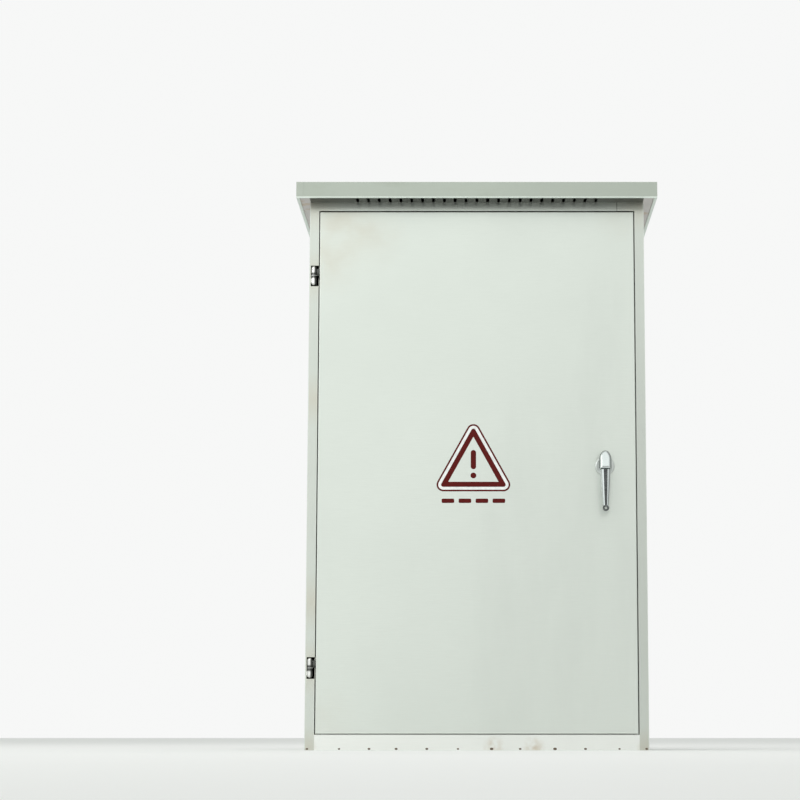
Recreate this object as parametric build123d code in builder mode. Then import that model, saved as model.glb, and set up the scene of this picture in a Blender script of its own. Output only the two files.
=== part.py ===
from build123d import *
import os
from math import cos, pi, radians, sin

# Floor-standing sheet-metal switchboard cabinet, in millimetres.
# X runs to the right seen from the front, the door faces -Y, Z is up.
# The origin is the middle of the anchor-hole pattern, on the floor.

# ---------------------------------------------------------------- driving dimensions
BODY_W = 700.0
BODY_D = 370.0
BODY_H = 1138.0
SHEET = 1.5

FRONT = -BODY_D / 2
BACK = BODY_D / 2
SIDE = BODY_W / 2

OPEN_X = 330.5          # half the width of the door opening
OPEN_Z = (31.0, 1120.0)  # height of the door opening
FOLD = 25.0             # depth of the folded frame sections
LIP = 12.0              # sealing lip, turned into the opening
LIP_Y = FRONT + FOLD    # front face of the sealing lip

DOOR_GAP = 2.0
DOOR_X = OPEN_X - DOOR_GAP
DOOR_Z = (OPEN_Z[0] + DOOR_GAP, OPEN_Z[1] - DOOR_GAP)
DOOR_DEEP = 20.0        # depth of the door pan
DOOR_FLANGE = 14.0      # inward flange that carries the gasket
GASKET_W = 10.0
GASKET_T = 4.7

ROOF_X = 375.0
ROOF_FRONT = FRONT - 52.0
ROOF_BACK = BACK + 25.0
FASCIA_Z = (BODY_H, BODY_H + 31.5)
RIDGE_Z = 1211.0
RIDGE_Y = (ROOF_FRONT + ROOF_BACK) / 2
ROOF_TAB = 15.0         # corner tab of a gable end, lapped over the fascia
TAB_T = 0.8
VENT_COUNT = 23
VENT_PITCH = 22.66
VENT_SLOT = (40.0, 6.0)
VENT_Y = FRONT - 23.0

LOUVRE_COUNT = 15
LOUVRE_PITCH = 25.0
LOUVRE_LOW = 381.0
LOUVRE_LEN = 75.0
LOUVRE_OUT = 6.0
LOUVRE_H = 12.0
LOUVRE_SKIN = 1.2

HINGE_X = -SIDE + 10.0
HINGE_Y = FRONT - 1.0
HINGE_Z = (166.0, 981.0)
HINGE_HALF = 20.0
KNUCKLE_R = 5.5
KNUCKLE_DOME = 4.6      # rounding of a knuckle's closed end
HINGE_PIN_R = 3.0
RUN_CLEAR = 0.06        # radial running clearance of pins and shafts
WASHER_T = 1.0
LEAF_T = 2.0
NOTCH_HALF = 22.0

HANDLE_X = 264.0
HANDLE_Z = 580.0
ROSETTE_R = 20.0
ROSETTE_T = 5.5
SPINDLE_R = 5.0
LEVER_BACK = FRONT - 6.0
HEAD_FRONT = FRONT - 18.0
COVER_BACK = HEAD_FRONT - 1.3
COVER_FRONT = FRONT - 36.0
COVER_HALF = 11.2
COVER_LOW = -9.0
COVER_TOP = 28.4
COVER_SPRING = 11.0     # height where the straight sides of the cover turn into its arch
COVER_SKIN = 1.8
COVER_LEAN = 5.0        # degrees that the front of the cover leans back towards its pin
COVER_ROUND = 5.0
COVER_HOLLOW = 8.2      # depth of the cover's inside
COVER_PIN_Y = HEAD_FRONT - 3.5
COVER_PIN_Z = 22.5
COVER_PIN_R = 1.25
BARREL_R = 6.0

GEAR_MODULE = 1.75
GEAR_TEETH = 12
GEAR_R = GEAR_MODULE * GEAR_TEETH / 2
GEAR_Y = (-158.0, -150.0)
ROD_Y = (-157.5, -150.5)
ROD_W = 8.0
ROD_STOP = 2.0          # the rods end this far short of the lip

FLOOR_Z = 25.0
ANCHOR_X = 325.0
ANCHOR_Y = 135.0
ANCHOR_R = 6.5
GLAND_XS = (-120.0, 0.0, 120.0)
GLAND_Y = 80.0
GLAND_BORE_R = 10.0
GLAND_THREAD_R = 16.0

PLATE_Y = (146.0, 148.0)
PLATE_X = 300.0
PLATE_Z = (100.0, 1050.0)
STUD_X = 280.0
STUD_Z = (130.0, 1020.0)

MAIN_Z = (700.0, 930.0)
MAIN_HALF = 65.0
MAIN_FRONT = 56.0
BRANCH_XS = (-120.0, 0.0, 120.0)
BRANCH_Z = (330.0, 460.0)
BRANCH_HALF = 40.0
BRANCH_FRONT = 76.0
PHASE_PITCH = 40.0
BRANCH_PITCH = 24.0
BAR_T = 4.0
BAR_Z = (600.0, 565.0, 530.0)
BAR_Y = (126.0, 112.0, 98.0)
BAR_W = 20.0

GLAND_PLATE = (390.0, 150.0)
GLAND_PLATE_Z = (FLOOR_Z + SHEET, FLOOR_Z + SHEET + 2.0)
GLAND_HOLE = (360.0, 120.0)
HEX_R = 21.0
GLAND_NUT_Z = GLAND_PLATE_Z[1] + 9.5

HEM = 2.0
STIFFENER_X = 110.0

LEVER_TOP = -10.0
HEAD_TOP = 17.0
EYE_Z = -89.5
EYE_R = 6.6
# height below the axis, depth of the middle, half width, half depth
LEVER_SECTIONS = (
    (LEVER_TOP, -206.3, 10.2, 14.3),
    (-30.0, -208.8, 9.2, 11.4),
    (-58.0, -211.4, 7.6, 8.4),
    (-84.0, -213.6, 5.6, 5.8),
)
LEVER_ROUND = 0.6       # corner radius of a lever section, as a share of its half width

TOOTH_TIP = GEAR_R + 1.3
TOOTH_ROOT = GEAR_R - 2.1
TOOTH_TIP_HALF = 0.55
TOOTH_ROOT_HALF = 1.5
RACK_PITCH = pi * GEAR_MODULE
RACK_ROOT = GEAR_R + 1.9
RACK_TIP = GEAR_R - 1.3
ROD_OUT = RACK_ROOT + ROD_W
CASE_X = 30.0
CASE_Z = 36.0
CASE_BACK = -143.0

SIGN_X = -7.0
SIGN_BASE = 542.0
SIGN_TOP = 654.0
SIGN_HALF = 62.0
VINYL_T = 0.25

PIVOT_DEEP = 15.0       # depth of a toggle's pivot behind the breaker's nose
HUB = 0.2               # toggle hub radius, as a share of the case's half width
BAR_HALF = 175.0
DUCT_HALF = 20.0
DUCT_Z = (150.0, 1000.0)

os.makedirs("parts", exist_ok=True)


def save(builder, name):
    """Label the finished piece and write its STEP file."""
    builder.part.label = name
    export_step(builder.part, f"parts/{name}.step")


def block(x, y, z, mode=Mode.ADD):
    """Rectangular solid between low and high coordinates, in the open part."""
    centre = ((x[0] + x[1]) / 2, (y[0] + y[1]) / 2, (z[0] + z[1]) / 2)
    with Locations(centre):
        Box(abs(x[1] - x[0]), abs(y[1] - y[0]), abs(z[1] - z[0]), mode=mode)


def bar(u, v, mode=Mode.ADD):
    """Rectangle between low and high coordinates, in the open sketch."""
    with Locations(((u[0] + u[1]) / 2, (v[0] + v[1]) / 2)):
        Rectangle(abs(u[1] - u[0]), abs(v[1] - v[0]), mode=mode)


def facing(y):
    """Sketch plane at depth y whose normal points at the viewer of the front."""
    return Plane((0, y, 0), x_dir=(1, 0, 0), z_dir=(0, -1, 0))


def at_handle(y):
    """Sketch plane facing the viewer at depth y, centred on the handle's axis."""
    return Plane((HANDLE_X, y, HANDLE_Z), x_dir=(1, 0, 0), z_dir=(0, -1, 0))


def profile_plane(x):
    """Sketch plane across the width at x: local x is Y, local y is Z."""
    return Plane((x, 0, 0), x_dir=(0, 1, 0), z_dir=(1, 0, 0))


# ---------------------------------------------------------------- side and back panels
def louvre_shape(out, height, half_length, inward, corner):
    """Pressed louvre, closed at its ends and top, standing on the panel's plane."""
    with BuildPart() as louvre:
        block((-inward, out), (-half_length, half_length), (0, height))
        front = louvre.faces().sort_by(Axis.X)[-1]
        rounded = front.edges().sort_by(Axis.Z)[1:] + louvre.edges().filter_by(Axis.X).group_by(Axis.Z)[-1]
        fillet(rounded, corner)
    return louvre.part


hood = louvre_shape(LOUVRE_OUT, LOUVRE_H, LOUVRE_LEN / 2, 0, 4.5)
mouth = louvre_shape(
    LOUVRE_OUT - LOUVRE_SKIN,
    LOUVRE_H - LOUVRE_SKIN,
    LOUVRE_LEN / 2 - LOUVRE_SKIN,
    2 * SHEET,
    4.5 - LOUVRE_SKIN,
)
louvre_places = [(SIDE, 0, LOUVRE_LOW + LOUVRE_PITCH * row) for row in range(LOUVRE_COUNT)]

with BuildPart() as side_panel_right:
    block((SIDE - SHEET, SIDE), (FRONT, BACK), (0, BODY_H))
    with Locations(*louvre_places):
        add(hood)
    with Locations(*louvre_places):
        add(mouth, mode=Mode.SUBTRACT)
save(side_panel_right, "side_panel_right")

with BuildPart() as side_panel_left:
    mirror(side_panel_right.part, about=Plane.YZ)
save(side_panel_left, "side_panel_left")

with BuildPart() as back_panel:
    block((-SIDE + SHEET, SIDE - SHEET), (BACK - SHEET, BACK), (0, BODY_H))
    with GridLocations(2 * STUD_X, 0, 2, 1):
        for z in STUD_Z:
            with Locations((0, BACK - SHEET / 2, z)):
                Cylinder(4, SHEET, rotation=(90, 0, 0), mode=Mode.SUBTRACT)
save(back_panel, "back_panel")


# ---------------------------------------------------------------- front frame
with BuildPart() as frame_stile_right:
    with BuildSketch(Plane.XY):
        bar((SIDE - 2 * SHEET, SIDE - SHEET), (FRONT, LIP_Y))
        bar((OPEN_X, SIDE - SHEET), (FRONT, FRONT + SHEET))
        bar((OPEN_X, OPEN_X + SHEET), (FRONT, LIP_Y + SHEET))
    extrude(amount=BODY_H)
    block((OPEN_X - LIP, OPEN_X), (LIP_Y, LIP_Y + SHEET), OPEN_Z)
save(frame_stile_right, "frame_stile_right")

with BuildPart() as frame_stile_left:
    mirror(frame_stile_right.part, about=Plane.YZ)
    for z in HINGE_Z:
        notch_z = (z - NOTCH_HALF, z + NOTCH_HALF)
        block((-SIDE + 2 * SHEET, -OPEN_X + 0.5), (FRONT - 1, LIP_Y - 6), notch_z, mode=Mode.SUBTRACT)
save(frame_stile_left, "frame_stile_left")


def frame_rail(name, outer, inner, into):
    """Folded rail between the stiles; into is +1 when the opening lies above it."""
    fold = (FRONT, FRONT + FOLD)
    with BuildPart() as rail:
        with BuildSketch(profile_plane(-OPEN_X)):
            bar((FRONT, FRONT + SHEET), (outer, inner))
            bar(fold, (outer, outer + into * SHEET))
            bar((FRONT, LIP_Y + SHEET), (inner - into * SHEET, inner))
        extrude(amount=2 * OPEN_X)
        block((-OPEN_X + LIP, OPEN_X - LIP), (LIP_Y, LIP_Y + SHEET), sorted((inner, inner + into * LIP)))
    save(rail, name)


frame_rail("frame_rail_bottom", 0.0, OPEN_Z[0], 1)
frame_rail("frame_rail_top", BODY_H, OPEN_Z[1], -1)


# ---------------------------------------------------------------- floor, anchors, gland plate
for side, name in ((-1, "base_angle_left"), (1, "base_angle_right")):
    edge = SIDE - SHEET
    with BuildPart() as base_angle:
        block(sorted((side * (edge - 40), side * edge)), (LIP_Y + SHEET, BACK - SHEET), (0, 3))
        block(sorted((side * (edge - 3), side * edge)), (LIP_Y + SHEET, BACK - SHEET), (3, FLOOR_Z))
        with Locations((side * ANCHOR_X, -ANCHOR_Y, 1.5), (side * ANCHOR_X, ANCHOR_Y, 1.5)):
            Cylinder(ANCHOR_R, 3, mode=Mode.SUBTRACT)
    save(base_angle, name)

screw_spots = [(x, GLAND_Y + y) for x in (-185, -61.7, 61.7, 185) for y in (-68, 68)]
with BuildPart() as floor_panel:
    block((-SIDE + SHEET, SIDE - SHEET), (LIP_Y + SHEET, BACK - SHEET), (FLOOR_Z, FLOOR_Z + SHEET))
    with BuildSketch(Plane.XY.offset(FLOOR_Z)):
        with Locations((0, GLAND_Y)):
            RectangleRounded(*GLAND_HOLE, 6)
        with GridLocations(2 * ANCHOR_X, 2 * ANCHOR_Y, 2, 2):
            Circle(15)
        with Locations(*screw_spots):
            Circle(2.5)
    extrude(amount=SHEET, mode=Mode.SUBTRACT)
save(floor_panel, "floor_panel")

with BuildPart() as gland_plate:
    with BuildSketch(Plane.XY.offset(GLAND_PLATE_Z[0])):
        with Locations((0, GLAND_Y)):
            RectangleRounded(*GLAND_PLATE, 5)
        with Locations(*[(x, GLAND_Y) for x in GLAND_XS]):
            Circle(GLAND_THREAD_R, mode=Mode.SUBTRACT)
        with Locations(*screw_spots):
            Circle(2.5, mode=Mode.SUBTRACT)
    extrude(amount=2.0)
save(gland_plate, "gland_plate")

with BuildPart() as gland_plate_screws:
    for x, y in screw_spots:
        with Locations((x, y, GLAND_PLATE_Z[1] + 1.6)):
            Cylinder(4.5, 3.2)
        with Locations((x, y, GLAND_PLATE_Z[1] - 5)):
            Cylinder(2.5, 10)
    fillet(gland_plate_screws.edges().group_by(Axis.Z)[-1], 1.2)
save(gland_plate_screws, "gland_plate_screws")

gland_spots = [(x, GLAND_Y) for x in GLAND_XS]

with BuildPart() as gland_locknuts:
    with BuildSketch(Plane.XY.offset(FLOOR_Z + SHEET)):
        with Locations(*gland_spots):
            RegularPolygon(HEX_R, 6)
            Circle(GLAND_THREAD_R, mode=Mode.SUBTRACT)
    extrude(amount=-6)
save(gland_locknuts, "gland_locknuts")

with BuildPart() as gland_bodies:
    with Locations(*[(x, GLAND_Y, FLOOR_Z - 7) for x in GLAND_XS]):
        Cylinder(GLAND_THREAD_R, 30, align=(Align.CENTER, Align.CENTER, Align.MIN))
    with BuildSketch(Plane.XY.offset(GLAND_PLATE_Z[1])):
        with Locations(*gland_spots):
            RegularPolygon(HEX_R, 6)
    extrude(amount=9)
    with Locations(*[(x, GLAND_Y, FLOOR_Z - 7) for x in GLAND_XS]):
        Cylinder(GLAND_BORE_R, 40, align=(Align.CENTER, Align.CENTER, Align.MIN), mode=Mode.SUBTRACT)
save(gland_bodies, "gland_bodies")

with BuildPart() as gland_cap_nuts:
    with BuildSketch(Plane.XY.offset(GLAND_NUT_Z)):
        with Locations(*gland_spots):
            RegularPolygon(HEX_R - 1, 6)
    extrude(amount=12)
    with Locations(*[(x, GLAND_Y, GLAND_NUT_Z + 12) for x in GLAND_XS]):
        Cone(17, 12, 9, align=(Align.CENTER, Align.CENTER, Align.MIN))
    with Locations(*[(x, GLAND_Y, GLAND_NUT_Z) for x in GLAND_XS]):
        Cylinder(GLAND_BORE_R, 21, align=(Align.CENTER, Align.CENTER, Align.MIN), mode=Mode.SUBTRACT)
        Cylinder(GLAND_THREAD_R, 10.2, align=(Align.CENTER, Align.CENTER, Align.MIN), mode=Mode.SUBTRACT)
save(gland_cap_nuts, "gland_cap_nuts")


# ---------------------------------------------------------------- roof module
with BuildPart() as roof_cover:
    with BuildSketch(profile_plane(-ROOF_X + SHEET)):
        with BuildLine():
            Polyline(
                (ROOF_FRONT, FASCIA_Z[0]),
                (ROOF_FRONT, FASCIA_Z[1]),
                (RIDGE_Y, RIDGE_Z),
                (ROOF_BACK, FASCIA_Z[1]),
                (ROOF_BACK, FASCIA_Z[0]),
                close=True,
            )
        make_face()
        with BuildLine():
            Polyline(
                (ROOF_FRONT + SHEET, FASCIA_Z[0]),
                (ROOF_FRONT + SHEET, FASCIA_Z[1] - SHEET),
                (RIDGE_Y, RIDGE_Z - SHEET),
                (ROOF_BACK - SHEET, FASCIA_Z[1] - SHEET),
                (ROOF_BACK - SHEET, FASCIA_Z[0]),
                close=True,
            )
        make_face(mode=Mode.SUBTRACT)
    extrude(amount=2 * (ROOF_X - SHEET))
    bends = roof_cover.edges().filter_by(Axis.X).filter_by_position(Axis.Z, FASCIA_Z[1] - 0.01, RIDGE_Z)
    outer_bends = bends.filter_by(lambda e: e.center().Z > RIDGE_Z - 0.1 or abs(e.center().Z - FASCIA_Z[1]) < 0.1)
    fillet(outer_bends, 1.2)
save(roof_cover, "roof_cover")


def gable_end(name, side):
    """Pentagonal end plate with a tab lapped over each fascia."""
    outer = side * ROOF_X
    with BuildPart() as gable:
        with BuildSketch(profile_plane(min(outer, outer - side * SHEET))):
            with BuildLine():
                Polyline(
                    (ROOF_FRONT, FASCIA_Z[0]),
                    (ROOF_FRONT, FASCIA_Z[1]),
                    (RIDGE_Y, RIDGE_Z),
                    (ROOF_BACK, FASCIA_Z[1]),
                    (ROOF_BACK, FASCIA_Z[0]),
                    close=True,
                )
            make_face()
        extrude(amount=SHEET)
        tab_x = sorted((outer, outer - side * ROOF_TAB))
        tab_z = (FASCIA_Z[0], FASCIA_Z[1] - 1.5)
        block(tab_x, (ROOF_FRONT - TAB_T, ROOF_FRONT), tab_z)
        block(tab_x, (ROOF_BACK, ROOF_BACK + TAB_T), tab_z)
    save(gable, name)


gable_end("roof_gable_left", -1)
gable_end("roof_gable_right", 1)

with BuildPart() as roof_soffit:
    block((-ROOF_X, ROOF_X), (ROOF_FRONT - TAB_T, ROOF_BACK + TAB_T), (BODY_H - HEM, BODY_H))
    inner_x = (-ROOF_X + 6, ROOF_X - 6)
    block(inner_x, (ROOF_FRONT + 6, ROOF_BACK - 6), (BODY_H - HEM, BODY_H), mode=Mode.SUBTRACT)
    tray_x = (-ROOF_X + SHEET, ROOF_X - SHEET)
    tray_y = (ROOF_FRONT + SHEET, ROOF_BACK - SHEET)
    block(tray_x, tray_y, (BODY_H, BODY_H + SHEET))
    with BuildSketch(Plane.XY.offset(BODY_H)):
        with Locations((0, VENT_Y)):
            with GridLocations(VENT_PITCH, 0, VENT_COUNT, 1):
                SlotOverall(*VENT_SLOT, rotation=90)
        with GridLocations(130, 70, 4, 3):
            SlotOverall(100, 30)
    extrude(amount=SHEET, mode=Mode.SUBTRACT)
save(roof_soffit, "roof_soffit")


# ---------------------------------------------------------------- door
with BuildPart() as door_panel:
    block((-DOOR_X, DOOR_X), (FRONT, FRONT + DOOR_DEEP), DOOR_Z)
    fillet(door_panel.edges().filter_by(Axis.Y), 1.0)
    fillet(door_panel.edges().group_by(Axis.Y)[0], 1.2)
    pan_x = (-DOOR_X + SHEET, DOOR_X - SHEET)
    pan_z = (DOOR_Z[0] + SHEET, DOOR_Z[1] - SHEET)
    block(pan_x, (FRONT + SHEET, FRONT + DOOR_DEEP - SHEET), pan_z, mode=Mode.SUBTRACT)
    rim_x = (-DOOR_X + DOOR_FLANGE, DOOR_X - DOOR_FLANGE)
    rim_z = (DOOR_Z[0] + DOOR_FLANGE, DOOR_Z[1] - DOOR_FLANGE)
    block(rim_x, (FRONT + SHEET, FRONT + DOOR_DEEP), rim_z, mode=Mode.SUBTRACT)
    with Locations((HANDLE_X, FRONT + SHEET / 2, HANDLE_Z)):
        Cylinder(8, 2 * SHEET, rotation=(90, 0, 0), mode=Mode.SUBTRACT)
save(door_panel, "door_panel")

with BuildPart() as door_gasket:
    gasket_y = (FRONT + DOOR_DEEP, FRONT + DOOR_DEEP + GASKET_T)
    edge = 2.0
    block((-DOOR_X + edge, DOOR_X - edge), gasket_y, (DOOR_Z[0] + edge, DOOR_Z[1] - edge))
    inset = edge + GASKET_W
    inset_z = (DOOR_Z[0] + inset, DOOR_Z[1] - inset)
    block((-DOOR_X + inset, DOOR_X - inset), gasket_y, inset_z, mode=Mode.SUBTRACT)
    fillet(door_gasket.edges().group_by(Axis.Y)[-1], 1.5)
save(door_gasket, "door_gasket")

for side, name in ((-1, "door_stiffener_left"), (1, "door_stiffener_right")):
    x = side * STIFFENER_X
    with BuildPart() as door_stiffener:
        with BuildSketch(Plane.XY.offset(DOOR_Z[0] + 24)):
            bar((x - 20, x - 18.5), (FRONT + SHEET, FRONT + 16))
            bar((x + 18.5, x + 20), (FRONT + SHEET, FRONT + 16))
            bar((x - 20, x + 20), (FRONT + 16, FRONT + 17.5))
        extrude(amount=DOOR_Z[1] - DOOR_Z[0] - 48)
    save(door_stiffener, name)


# ---------------------------------------------------------------- hinges
for z, level in zip(HINGE_Z, ("lower", "upper")):
    top = z + HINGE_HALF
    low = z - HINGE_HALF
    with BuildPart() as hinge_frame_leaf:
        leaf_z = (low, z - WASHER_T / 2)
        with Locations((HINGE_X, HINGE_Y, low)):
            Cylinder(KNUCKLE_R, leaf_z[1] - low, align=(Align.CENTER, Align.CENTER, Align.MIN))
        fillet(hinge_frame_leaf.edges().group_by(Axis.Z)[0], KNUCKLE_DOME)
        block((-SIDE + 2 * SHEET, -SIDE + 2 * SHEET + LEAF_T), (HINGE_Y, LIP_Y - 7), (low + 5, leaf_z[1]))
        with Locations((HINGE_X, HINGE_Y, low + 2)):
            Cylinder(HINGE_PIN_R, 40, align=(Align.CENTER, Align.CENTER, Align.MIN), mode=Mode.SUBTRACT)
    save(hinge_frame_leaf, f"hinge_frame_leaf_{level}")

    with BuildPart() as hinge_door_leaf:
        leaf_z = (z + WASHER_T / 2, top)
        with Locations((HINGE_X, HINGE_Y, leaf_z[0])):
            Cylinder(KNUCKLE_R, top - leaf_z[0], align=(Align.CENTER, Align.CENTER, Align.MIN))
        fillet(hinge_door_leaf.edges().group_by(Axis.Z)[-1], KNUCKLE_DOME)
        block((HINGE_X + 3.5, -DOOR_X), (FRONT + 1.5, FRONT + 3.5), (leaf_z[0], top - 5))
        block((-DOOR_X - LEAF_T, -DOOR_X), (FRONT + 1.5, FRONT + DOOR_DEEP - 3), (leaf_z[0], top - 5))
        with Locations((HINGE_X, HINGE_Y, leaf_z[0])):
            bore_r = HINGE_PIN_R + RUN_CLEAR
            Cylinder(bore_r, 17, align=(Align.CENTER, Align.CENTER, Align.MIN), mode=Mode.SUBTRACT)
    save(hinge_door_leaf, f"hinge_door_leaf_{level}")

with BuildPart() as hinge_pins:
    with Locations(*[(HINGE_X, HINGE_Y, z - HINGE_HALF + 2) for z in HINGE_Z]):
        Cylinder(HINGE_PIN_R, 34.5, align=(Align.CENTER, Align.CENTER, Align.MIN))
    fillet(hinge_pins.edges().filter_by_position(Axis.Z, HINGE_Z[1] + 16, HINGE_Z[1] + 17), 0.8)
save(hinge_pins, "hinge_pins")

with BuildPart() as hinge_washers:
    with Locations(*[(HINGE_X, HINGE_Y, z) for z in HINGE_Z]):
        Cylinder(KNUCKLE_R + 0.9, WASHER_T - 0.2)
        Cylinder(HINGE_PIN_R + 0.3, WASHER_T, mode=Mode.SUBTRACT)
save(hinge_washers, "hinge_washers")


# ---------------------------------------------------------------- handle and lock
with BuildPart() as handle_rosette:
    with BuildSketch(at_handle(FRONT)):
        Circle(ROSETTE_R)
    extrude(amount=ROSETTE_T)
    fillet(handle_rosette.edges().group_by(Axis.Y)[0], 2.5)
    with BuildSketch(at_handle(FRONT - ROSETTE_T)):
        Circle(SPINDLE_R + RUN_CLEAR)
    extrude(amount=-ROSETTE_T, mode=Mode.SUBTRACT)
save(handle_rosette, "handle_rosette")


def arch(half, low, top, spring):
    """Outline of the key cover: straight sides under an elliptical arch."""
    with BuildSketch() as outline:
        with BuildLine():
            Polyline((-half, spring), (-half, low), (half, low), (half, spring))
            EllipticalCenterArc((0, spring), half, top - spring, start_angle=0, arc_size=180)
        make_face()
    return outline.sketch


with BuildPart() as handle_lever:
    for depth, middle, half_w, half_d in LEVER_SECTIONS:
        with BuildSketch(Plane.XY.offset(HANDLE_Z + depth)):
            with Locations((HANDLE_X, middle)):
                RectangleRounded(2 * half_w, 2 * half_d, LEVER_ROUND * half_w)
    loft()
    with BuildSketch(at_handle(LEVER_BACK)):
        bar((-10.2, 10.2), (LEVER_TOP - 2, 6))
        with Locations((0, 6)):
            Ellipse(10.2, HEAD_TOP - 6)
    extrude(amount=LEVER_BACK - HEAD_FRONT)
    with Locations((HANDLE_X, LEVER_SECTIONS[-1][1], HANDLE_Z + EYE_Z)):
        Cylinder(EYE_R, 7.5, rotation=(90, 0, 0))
        Cylinder(2.6, 9, rotation=(90, 0, 0), mode=Mode.SUBTRACT)
    block((HANDLE_X - 3, HANDLE_X + 3), (COVER_PIN_Y, HEAD_FRONT + 3), (HANDLE_Z + 13, HANDLE_Z + COVER_PIN_Z))
    with Locations((HANDLE_X, COVER_PIN_Y, HANDLE_Z + COVER_PIN_Z)):
        Cylinder(2.3, 6, rotation=(0, 90, 0))
        Cylinder(COVER_PIN_R + 0.05, 6, rotation=(0, 90, 0), mode=Mode.SUBTRACT)
    with Locations((HANDLE_X, LEVER_BACK, HANDLE_Z)):
        Cylinder(SPINDLE_R, 8, rotation=(90, 0, 0), mode=Mode.SUBTRACT)
    with Locations((HANDLE_X, HEAD_FRONT, HANDLE_Z)):
        Cylinder(BARREL_R + 0.05, 14, rotation=(90, 0, 0), mode=Mode.SUBTRACT)
save(handle_lever, "handle_lever")

cover_outer = arch(COVER_HALF, COVER_LOW, COVER_TOP, COVER_SPRING)
cover_inner = arch(COVER_HALF - COVER_SKIN, COVER_LOW + COVER_SKIN, COVER_TOP - COVER_SKIN, COVER_SPRING)
with BuildPart() as key_cover:
    with BuildSketch(at_handle(COVER_BACK)):
        add(cover_outer)
    extrude(amount=COVER_BACK - COVER_FRONT)
    with Locations(Location((HANDLE_X, COVER_FRONT, HANDLE_Z + COVER_LOW), (-COVER_LEAN, 0, 0))):
        Box(60, 20, 120, align=(Align.CENTER, Align.MAX, Align.CENTER), mode=Mode.SUBTRACT)
    fillet(key_cover.faces().sort_by(Axis.Y)[0].edges(), COVER_ROUND)
    with BuildSketch(at_handle(COVER_BACK)):
        add(cover_inner)
    extrude(amount=COVER_HOLLOW, mode=Mode.SUBTRACT)
    slot_z = (HANDLE_Z + COVER_PIN_Z - 2, HANDLE_Z + COVER_TOP + 1)
    block((HANDLE_X - 3.5, HANDLE_X + 3.5), (COVER_PIN_Y - 3, COVER_BACK + 1), slot_z, mode=Mode.SUBTRACT)
    with Locations((HANDLE_X, COVER_PIN_Y, HANDLE_Z + COVER_PIN_Z)):
        Cylinder(COVER_PIN_R, 12, rotation=(0, 90, 0))
save(key_cover, "key_cover")

with BuildPart() as key_barrel:
    with Locations((HANDLE_X, HEAD_FRONT + 3.3, HANDLE_Z)):
        Cylinder(BARREL_R, 7, rotation=(90, 0, 0))
    block((HANDLE_X - 0.7, HANDLE_X + 0.7), (HEAD_FRONT - 0.3, HEAD_FRONT + 5), (HANDLE_Z - 4, HANDLE_Z + 4),
          mode=Mode.SUBTRACT)
save(key_barrel, "key_barrel")

# The pinion has 12 blunt teeth with wide backlash; a tooth points along +X and another along -X.


def pinion_outline():
    """Corner points of the pinion, tooth by tooth."""
    points = []
    for tooth in range(GEAR_TEETH):
        turn = 360 / GEAR_TEETH * tooth
        corners = (
            (TOOTH_ROOT, -TOOTH_ROOT_HALF),
            (TOOTH_TIP, -TOOTH_TIP_HALF),
            (TOOTH_TIP, TOOTH_TIP_HALF),
            (TOOTH_ROOT, TOOTH_ROOT_HALF),
        )
        for along, across in corners:
            x = along * cos(radians(turn)) - across * sin(radians(turn))
            z = along * sin(radians(turn)) + across * cos(radians(turn))
            points.append((x, z))
    return points


with BuildPart() as handle_spindle:
    with BuildSketch(at_handle(GEAR_Y[1])):
        with BuildLine():
            Polyline(*pinion_outline(), close=True)
        make_face()
    extrude(amount=GEAR_Y[1] - GEAR_Y[0])
    with BuildSketch(at_handle(CASE_BACK + 3)):
        Circle(SPINDLE_R)
    extrude(amount=CASE_BACK + 3 - (LEVER_BACK - 4))
save(handle_spindle, "handle_spindle")


def latch_rod(name, side, tip_z, rack_z):
    """Flat rod with rack teeth facing the pinion, and a wedge at its tip."""
    tail_z = -12.0 * (1 if tip_z > HANDLE_Z else -1)
    with BuildPart() as rod:
        with BuildSketch(at_handle(ROD_Y[1])):
            bar((side * RACK_ROOT, side * ROD_OUT), (tail_z, tip_z - HANDLE_Z))
            for index in range(-6, 6):
                z = (index + 0.5) * RACK_PITCH
                if rack_z[0] < z < rack_z[1]:
                    with BuildLine():
                        Polyline(
                            (side * (RACK_ROOT + 0.5), z - 1.6),
                            (side * RACK_TIP, z - 0.45),
                            (side * RACK_TIP, z + 0.45),
                            (side * (RACK_ROOT + 0.5), z + 1.6),
                            close=True,
                        )
                    make_face()
        extrude(amount=ROD_Y[1] - ROD_Y[0])
        tip = rod.faces().sort_by(Axis.Z)[-1 if tip_z > HANDLE_Z else 0]
        chamfer(tip.edges().filter_by(Axis.X), 3.0)
    save(rod, name)


latch_rod("latch_rod_upper", 1, OPEN_Z[1] - LIP - ROD_STOP, (-12, 26))
latch_rod("latch_rod_lower", -1, OPEN_Z[0] + LIP + ROD_STOP, (-26, 12))

with BuildPart() as latch_case:
    case_z = (HANDLE_Z - CASE_Z, HANDLE_Z + CASE_Z)
    block((HANDLE_X - CASE_X, HANDLE_X + CASE_X), (FRONT + SHEET, CASE_BACK), case_z)
    block((HANDLE_X - CASE_X + 2, HANDLE_X + CASE_X - 2), (FRONT + SHEET, CASE_BACK - 2), case_z,
          mode=Mode.SUBTRACT)
    for side in (-1, 1):
        foot_x = sorted((HANDLE_X + side * CASE_X, HANDLE_X + side * (CASE_X + 14)))
        block(foot_x, (FRONT + SHEET, FRONT + SHEET + 2), case_z)
    with Locations((HANDLE_X, CASE_BACK, HANDLE_Z)):
        Cylinder(SPINDLE_R + RUN_CLEAR, 10, rotation=(90, 0, 0), mode=Mode.SUBTRACT)
save(latch_case, "latch_case")

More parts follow.
